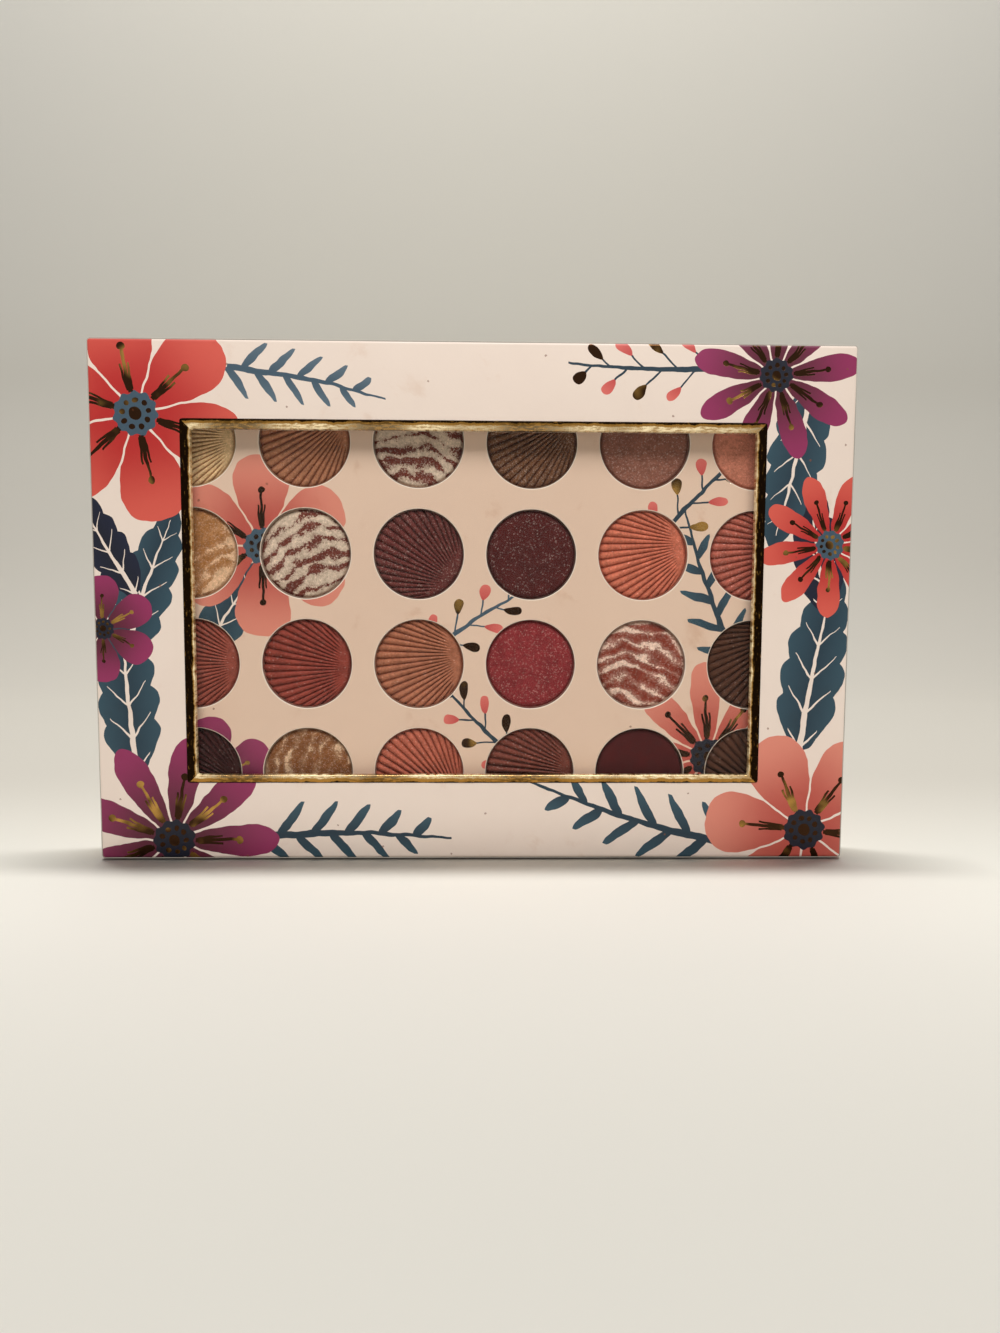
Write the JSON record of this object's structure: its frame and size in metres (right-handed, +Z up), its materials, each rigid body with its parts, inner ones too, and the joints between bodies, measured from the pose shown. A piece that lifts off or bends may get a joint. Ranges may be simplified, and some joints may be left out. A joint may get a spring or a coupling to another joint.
{
  "type": "eyeshadow palette",
  "caption": "Upright book-style paperboard eyeshadow palette: a windowed lid on a paper hinge closes over a tray of round pressed-powder pans.",
  "frame": {"origin": "middle of the footprint, on the surface that the closed palette stands on", "axes": "+X along the width, to the right seen from the front; +Y from the lid's face to the back cover; +Z up, towards the hinge"},
  "size_m": [0.219, 0.0154, 0.15],
  "materials": {
    "greyboard": "matte",
    "platform_board": "matte",
    "printed_wrap": "satin",
    "tray_paper": "satin",
    "liner_paper": "matte",
    "printed_card": "satin",
    "kraft_tape": "matte",
    "glue": "satin",
    "gold_foil": "polished",
    "clear_film": "gloss",
    "magnet": "satin",
    "pan_metal": "satin",
    "powder_r1c1": "matte",
    "powder_r1c2": "matte",
    "powder_r1c3": "matte",
    "powder_r1c4": "matte",
    "powder_r1c5": "matte",
    "powder_r1c6": "matte",
    "powder_r2c1": "matte",
    "powder_r2c2": "matte",
    "powder_r2c3": "matte",
    "powder_r2c4": "matte",
    "powder_r2c5": "matte",
    "powder_r2c6": "matte",
    "powder_r3c1": "matte",
    "powder_r3c2": "matte",
    "powder_r3c3": "matte",
    "powder_r3c4": "matte",
    "powder_r3c5": "matte",
    "powder_r3c6": "matte",
    "powder_r4c1": "matte",
    "powder_r4c2": "matte",
    "powder_r4c3": "matte",
    "powder_r4c4": "matte",
    "powder_r4c5": "matte",
    "powder_r4c6": "matte"
  },
  "bodies": {
    "base": {"back_board": "greyboard", "back_wrap": "printed_wrap", "back_liner": "liner_paper", "spine_board": "greyboard", "spine_wrap": "printed_wrap", "hinge_fold": "printed_wrap", "hinge_liner": "liner_paper", "tray_wall_left": "greyboard", "tray_wall_right": "greyboard", "tray_wall_top": "greyboard", "tray_wall_bottom": "greyboard", "tray_floor": "greyboard", "corner_tapes": "kraft_tape", "tray_wrap": "tray_paper", "support_ribs": "greyboard", "base_card": "platform_board", "glue_dots": "glue", "pan_platform": "platform_board", "tray_magnets": "magnet", "pan_card": "printed_card", "pans_row_1": "pan_metal", "pans_row_2": "pan_metal", "pans_row_3": "pan_metal", "pans_row_4": "pan_metal", "powder_r1c1": "powder_r1c1", "powder_r1c2": "powder_r1c2", "powder_r1c3": "powder_r1c3", "powder_r1c4": "powder_r1c4", "powder_r1c5": "powder_r1c5", "powder_r1c6": "powder_r1c6", "powder_r2c1": "powder_r2c1", "powder_r2c2": "powder_r2c2", "powder_r2c3": "powder_r2c3", "powder_r2c4": "powder_r2c4", "powder_r2c5": "powder_r2c5", "powder_r2c6": "powder_r2c6", "powder_r3c1": "powder_r3c1", "powder_r3c2": "powder_r3c2", "powder_r3c3": "powder_r3c3", "powder_r3c4": "powder_r3c4", "powder_r3c5": "powder_r3c5", "powder_r3c6": "powder_r3c6", "powder_r4c1": "powder_r4c1", "powder_r4c2": "powder_r4c2", "powder_r4c3": "powder_r4c3", "powder_r4c4": "powder_r4c4", "powder_r4c5": "powder_r4c5", "powder_r4c6": "powder_r4c6"},
    "lid": {"lid_board": "greyboard", "lid_wrap": "printed_wrap", "window_edging": "gold_foil", "window_film": "clear_film", "lid_liner": "liner_paper", "lid_magnets": "magnet"}
  },
  "joints": [
    {"name": "lid_hinge", "type": "hinge", "parent": "base", "child": "lid", "pos_m": [0, -0.0048, 0.15015], "axis": [-1, 0, 0], "range_deg": [0, 178]}
  ]
}
